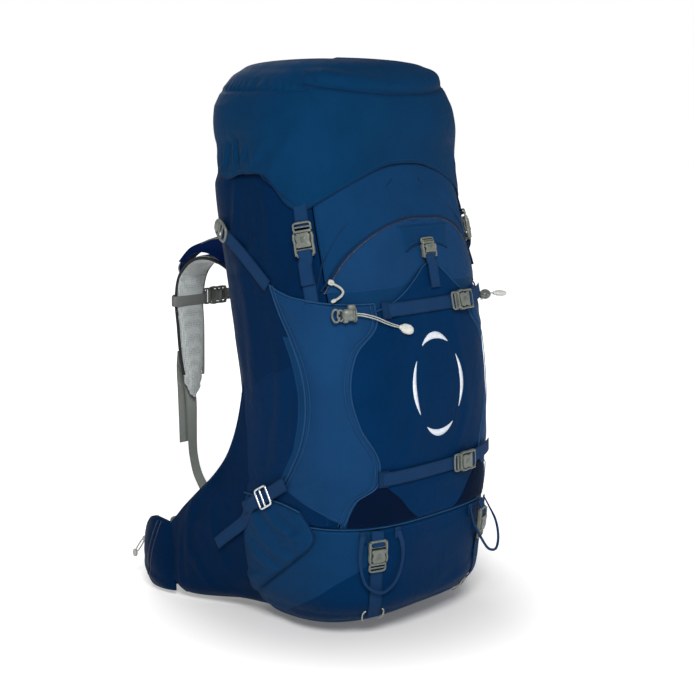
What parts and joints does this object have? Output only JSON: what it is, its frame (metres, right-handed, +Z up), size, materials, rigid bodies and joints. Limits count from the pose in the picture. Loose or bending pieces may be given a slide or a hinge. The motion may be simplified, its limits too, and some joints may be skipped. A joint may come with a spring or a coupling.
{
  "type": "trekking backpack",
  "caption": "Tall trekking backpack with a flip-up lid, side wings, stretch pocket, padded shoulder harness and hip belt.",
  "frame": {"origin": "on the ground under the bag, in the flat middle of its base", "axes": "+Z up; the front of the bag faces -Y, the harness faces +Y, the wearer's left is -X"},
  "size_m": [0.4434, 0.519, 0.835],
  "materials": {
    "back_pad": "spacer mesh",
    "back_panel": "woven nylon",
    "belt_strap_left": "woven webbing",
    "belt_strap_right": "woven webbing",
    "boot_shell": "woven nylon",
    "bungee_left": "braided cord",
    "bungee_right": "braided cord",
    "collar": "woven nylon",
    "divider": "woven nylon",
    "fin_left": "woven nylon",
    "fin_right": "woven nylon",
    "frame_rod": "satin",
    "framesheet": "smooth sheet",
    "front_panel": "woven nylon",
    "haul_loop": "woven nylon",
    "hip_pocket_left": "woven nylon",
    "hip_pocket_right": "woven nylon",
    "hip_wing_left": "woven nylon",
    "hip_wing_right": "woven nylon",
    "lid_buckle_left": "moulded acetal",
    "lid_buckle_right": "moulded acetal",
    "lid_shell": "woven nylon",
    "lid_strap_left": "woven webbing",
    "lid_strap_right": "woven webbing",
    "lifter_left": "woven webbing",
    "lifter_right": "woven webbing",
    "lower_buckle": "moulded acetal",
    "lower_strap": "woven webbing",
    "lower_webbing_left": "woven webbing",
    "lower_webbing_right": "woven webbing",
    "lumbar_pad": "spacer mesh",
    "pad_buckle_left": "moulded acetal",
    "pad_buckle_right": "moulded acetal",
    "pad_strap_left": "woven webbing",
    "pad_strap_right": "woven webbing",
    "pocket_buckle": "moulded acetal",
    "pocket_flap": "woven nylon",
    "shoulder_strap_left": "spacer mesh",
    "shoulder_strap_right": "spacer mesh",
    "side_panel_left": "woven nylon",
    "side_panel_right": "woven nylon",
    "side_pocket_left": "woven nylon",
    "side_pocket_right": "woven nylon",
    "side_strap_left": "woven webbing",
    "side_strap_right": "woven webbing",
    "stabiliser_left": "woven webbing",
    "stabiliser_right": "woven webbing",
    "sternum_buckle": "moulded acetal",
    "sternum_strap": "woven webbing",
    "stretch_pocket": "woven nylon",
    "tool_loop_left": "braided cord",
    "tool_loop_right": "braided cord",
    "upper_buckle": "moulded acetal",
    "upper_pocket": "woven nylon",
    "upper_strap": "woven webbing",
    "wing_left": "woven nylon",
    "wing_right": "woven nylon",
    "yoke": "woven nylon",
    "zip_pull": "cord with moulded end"
  },
  "bodies": {
    "pack": {"back_pad": "back_pad", "back_panel": "back_panel", "boot_shell": "boot_shell", "bungee_left": "bungee_left", "bungee_right": "bungee_right", "collar": "collar", "divider": "divider", "fin_left": "fin_left", "fin_right": "fin_right", "frame_rod": "frame_rod", "framesheet": "framesheet", "front_panel": "front_panel", "lower_strap": "lower_strap", "lumbar_pad": "lumbar_pad", "pad_strap_left": "pad_strap_left", "pad_strap_right": "pad_strap_right", "side_panel_left": "side_panel_left", "side_panel_right": "side_panel_right", "side_pocket_left": "side_pocket_left", "side_pocket_right": "side_pocket_right", "side_strap_left": "side_strap_left", "side_strap_right": "side_strap_right", "stabiliser_left": "stabiliser_left", "stabiliser_right": "stabiliser_right", "stretch_pocket": "stretch_pocket", "tool_loop_left": "tool_loop_left", "tool_loop_right": "tool_loop_right", "upper_pocket": "upper_pocket", "upper_strap": "upper_strap", "wing_left": "wing_left", "wing_right": "wing_right", "yoke": "yoke"},
    "lid": {"lid_shell": "lid_shell", "lid_strap_left": "lid_strap_left", "lid_strap_right": "lid_strap_right"},
    "harness": {"shoulder_strap_left": "shoulder_strap_left", "shoulder_strap_right": "shoulder_strap_right", "lifter_left": "lifter_left", "lifter_right": "lifter_right", "lower_webbing_left": "lower_webbing_left", "lower_webbing_right": "lower_webbing_right", "sternum_strap": "sternum_strap"},
    "flap": {"pocket_flap": "pocket_flap"},
    "haul_loop": {"haul_loop": "haul_loop"},
    "zip_pull": {"zip_pull": "zip_pull"},
    "hip_left": {"hip_wing_left": "hip_wing_left", "hip_pocket_left": "hip_pocket_left", "belt_strap_left": "belt_strap_left"},
    "hip_right": {"hip_wing_right": "hip_wing_right", "hip_pocket_right": "hip_pocket_right", "belt_strap_right": "belt_strap_right"},
    "lid_buckle_left": {"lid_buckle_left": "lid_buckle_left"},
    "lid_buckle_right": {"lid_buckle_right": "lid_buckle_right"},
    "upper_buckle": {"upper_buckle": "upper_buckle"},
    "lower_buckle": {"lower_buckle": "lower_buckle"},
    "pocket_buckle": {"pocket_buckle": "pocket_buckle"},
    "pad_buckle_left": {"pad_buckle_left": "pad_buckle_left"},
    "pad_buckle_right": {"pad_buckle_right": "pad_buckle_right"},
    "sternum_buckle": {"sternum_buckle": "sternum_buckle"}
  },
  "joints": [
    {"name": "lid_hinge", "type": "hinge", "parent": "pack", "child": "lid", "pos_m": [0, 0.168, 0.705], "axis": [-1, 0, 0], "range_deg": [0, 95]},
    {"name": "flap_hinge", "type": "hinge", "parent": "pack", "child": "flap", "pos_m": [0.01759, -0.13669, 0.59526], "axis": [-1, 0, 0], "range_deg": [0, 75]},
    {"name": "harness_swing", "type": "hinge", "parent": "pack", "child": "harness", "pos_m": [0, 0.144, 0.506], "axis": [1, 0, 0], "range_deg": [-4, 12]},
    {"name": "hip_left_swing", "type": "hinge", "parent": "pack", "child": "hip_left", "pos_m": [-0.12, 0.135, 0.065], "axis": [0, 0, 1], "range_deg": [-6, 20]},
    {"name": "hip_right_swing", "type": "hinge", "parent": "pack", "child": "hip_right", "pos_m": [0.12, 0.135, 0.065], "axis": [0, 0, -1], "range_deg": [-6, 20]},
    {"name": "haul_loop_lift", "type": "hinge", "parent": "pack", "child": "haul_loop", "pos_m": [0, 0.1725, 0.652], "axis": [1, 0, 0], "range_deg": [0, 90]},
    {"name": "zip_pull_swing", "type": "hinge", "parent": "pack", "child": "zip_pull", "pos_m": [-0.15506, -0.12353, 0.52458], "axis": [-0.7595, 0.6505, 0], "range_deg": [0, 80]},
    {"name": "lid_buckle_left_release", "type": "slide", "parent": "lid", "child": "lid_buckle_left", "axis": [0.0029, -0.2059, -0.9786], "range_m": [0, 0.022]},
    {"name": "lid_buckle_right_release", "type": "slide", "parent": "lid", "child": "lid_buckle_right", "axis": [-0.0029, -0.2059, -0.9786], "range_m": [0, 0.022]},
    {"name": "upper_buckle_release", "type": "slide", "parent": "pack", "child": "upper_buckle", "axis": [0.9994, 0.0353, 0.0003], "range_m": [0, 0.022]},
    {"name": "lower_buckle_release", "type": "slide", "parent": "pack", "child": "lower_buckle", "axis": [0.9999, 0.0122, -0.0002], "range_m": [0, 0.022]},
    {"name": "pocket_buckle_release", "type": "slide", "parent": "flap", "child": "pocket_buckle", "axis": [-0.0011, -0.2461, -0.9692], "range_m": [0, 0.012]},
    {"name": "pad_buckle_left_release", "type": "slide", "parent": "pack", "child": "pad_buckle_left", "axis": [-0.068, -0.1092, 0.9917], "range_m": [0, 0.022]},
    {"name": "pad_buckle_right_release", "type": "slide", "parent": "pack", "child": "pad_buckle_right", "axis": [0.068, -0.1092, 0.9917], "range_m": [0, 0.022]},
    {"name": "sternum_buckle_release", "type": "slide", "parent": "harness", "child": "sternum_buckle", "axis": [1, 0, 0], "range_m": [0, 0.022]}
  ]
}
